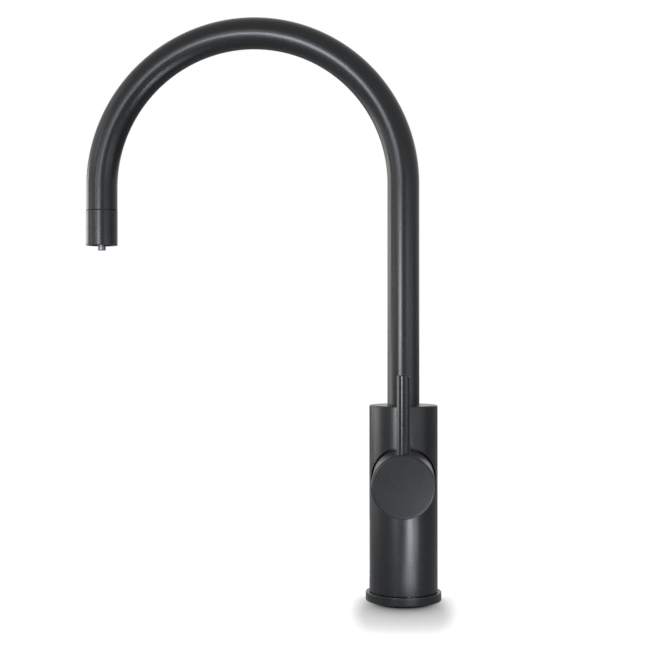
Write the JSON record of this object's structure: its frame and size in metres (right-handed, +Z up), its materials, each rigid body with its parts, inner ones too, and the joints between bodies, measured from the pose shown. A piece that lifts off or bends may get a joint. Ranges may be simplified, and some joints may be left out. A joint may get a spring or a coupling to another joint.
{
  "type": "boiling water tap",
  "caption": "Deck-mounted kitchen tap for boiling and mixed water, with a swivelling arched spout, a side mixer lever and a touch control.",
  "frame": {"origin": "centre of the base on the worktop, on the column's axis", "axes": "+Z up along the column, -X towards the user and the spout's outlet, -Y on the lever's side"},
  "size_m": [0.2555, 0.0966, 0.413],
  "materials": {
    "satin_black": "satin black coating on metal",
    "panel_black": "dark smoked acrylic",
    "brass_core": "turned brass",
    "stainless": "stainless steel",
    "black_rubber": "matt rubber",
    "bearing_plastic": "white bearing plastic",
    "grey_plastic": "grey engineering plastic",
    "clear_plastic": "clear acrylic",
    "circuit_board": "green circuit board",
    "disc_ceramic": "lapped ceramic"
  },
  "bodies": {
    "column": {"base_plate": "stainless", "cable_grommet": "black_rubber", "base_screw_left": "stainless", "base_screw_right": "stainless", "base_flange": "satin_black", "base_gasket": "black_rubber", "body_shell": "satin_black", "water_core": "brass_core", "boiling_seal": "black_rubber", "bearing_ring": "bearing_plastic", "thrust_washer": "bearing_plastic", "stop_screw": "stainless", "touch_panel": "panel_black", "touch_board": "circuit_board", "light_guide": "clear_plastic", "port_seal": "black_rubber", "cartridge_base": "grey_plastic", "fixed_disc": "disc_ceramic", "cartridge_housing": "grey_plastic", "retaining_nut": "brass_core", "lever_boss": "satin_black", "dome_cover": "satin_black"},
    "spout": {"spout_tube": "satin_black", "boiling_tube": "stainless", "spout_ferrule": "brass_core", "ferrule_ring_lower": "black_rubber", "ferrule_ring_upper": "black_rubber", "end_fitting": "satin_black", "outlet_collar": "satin_black", "outlet_washer": "black_rubber", "aerator_body": "grey_plastic", "boiling_nozzle": "stainless"},
    "rotor": {"turn_carrier": "grey_plastic", "pivot_pin": "stainless"},
    "lever": {"spindle": "stainless", "lever_knob": "satin_black", "knob_screw": "stainless", "lever_pin": "satin_black"},
    "disc": {"disc_carrier": "grey_plastic", "moving_disc": "disc_ceramic"}
  },
  "joints": [
    {"name": "spout_swivel", "type": "hinge", "parent": "column", "child": "spout", "pos_m": [0, 0, 0.1266], "axis": [0, 0, 1], "range_deg": [-87.1, 92.9]},
    {"name": "lever_turn", "type": "hinge", "parent": "column", "child": "rotor", "pos_m": [0, -0.0318, 0.0872], "axis": [0, 1, 0], "range_deg": [-45, 45]},
    {"name": "lever_tilt", "type": "hinge", "parent": "rotor", "child": "lever", "pos_m": [0, -0.03185, 0.0872], "axis": [1, 0, 0], "range_deg": [0, 20]},
    {"name": "disc_slide", "type": "slide", "parent": "rotor", "child": "disc", "axis": [0, 0, 1], "range_m": [0, 0.00225]}
  ],
  "couplings": [
    {"joint": "disc_slide", "follows": "lever_tilt", "m_per_rad": 0.00605}
  ]
}
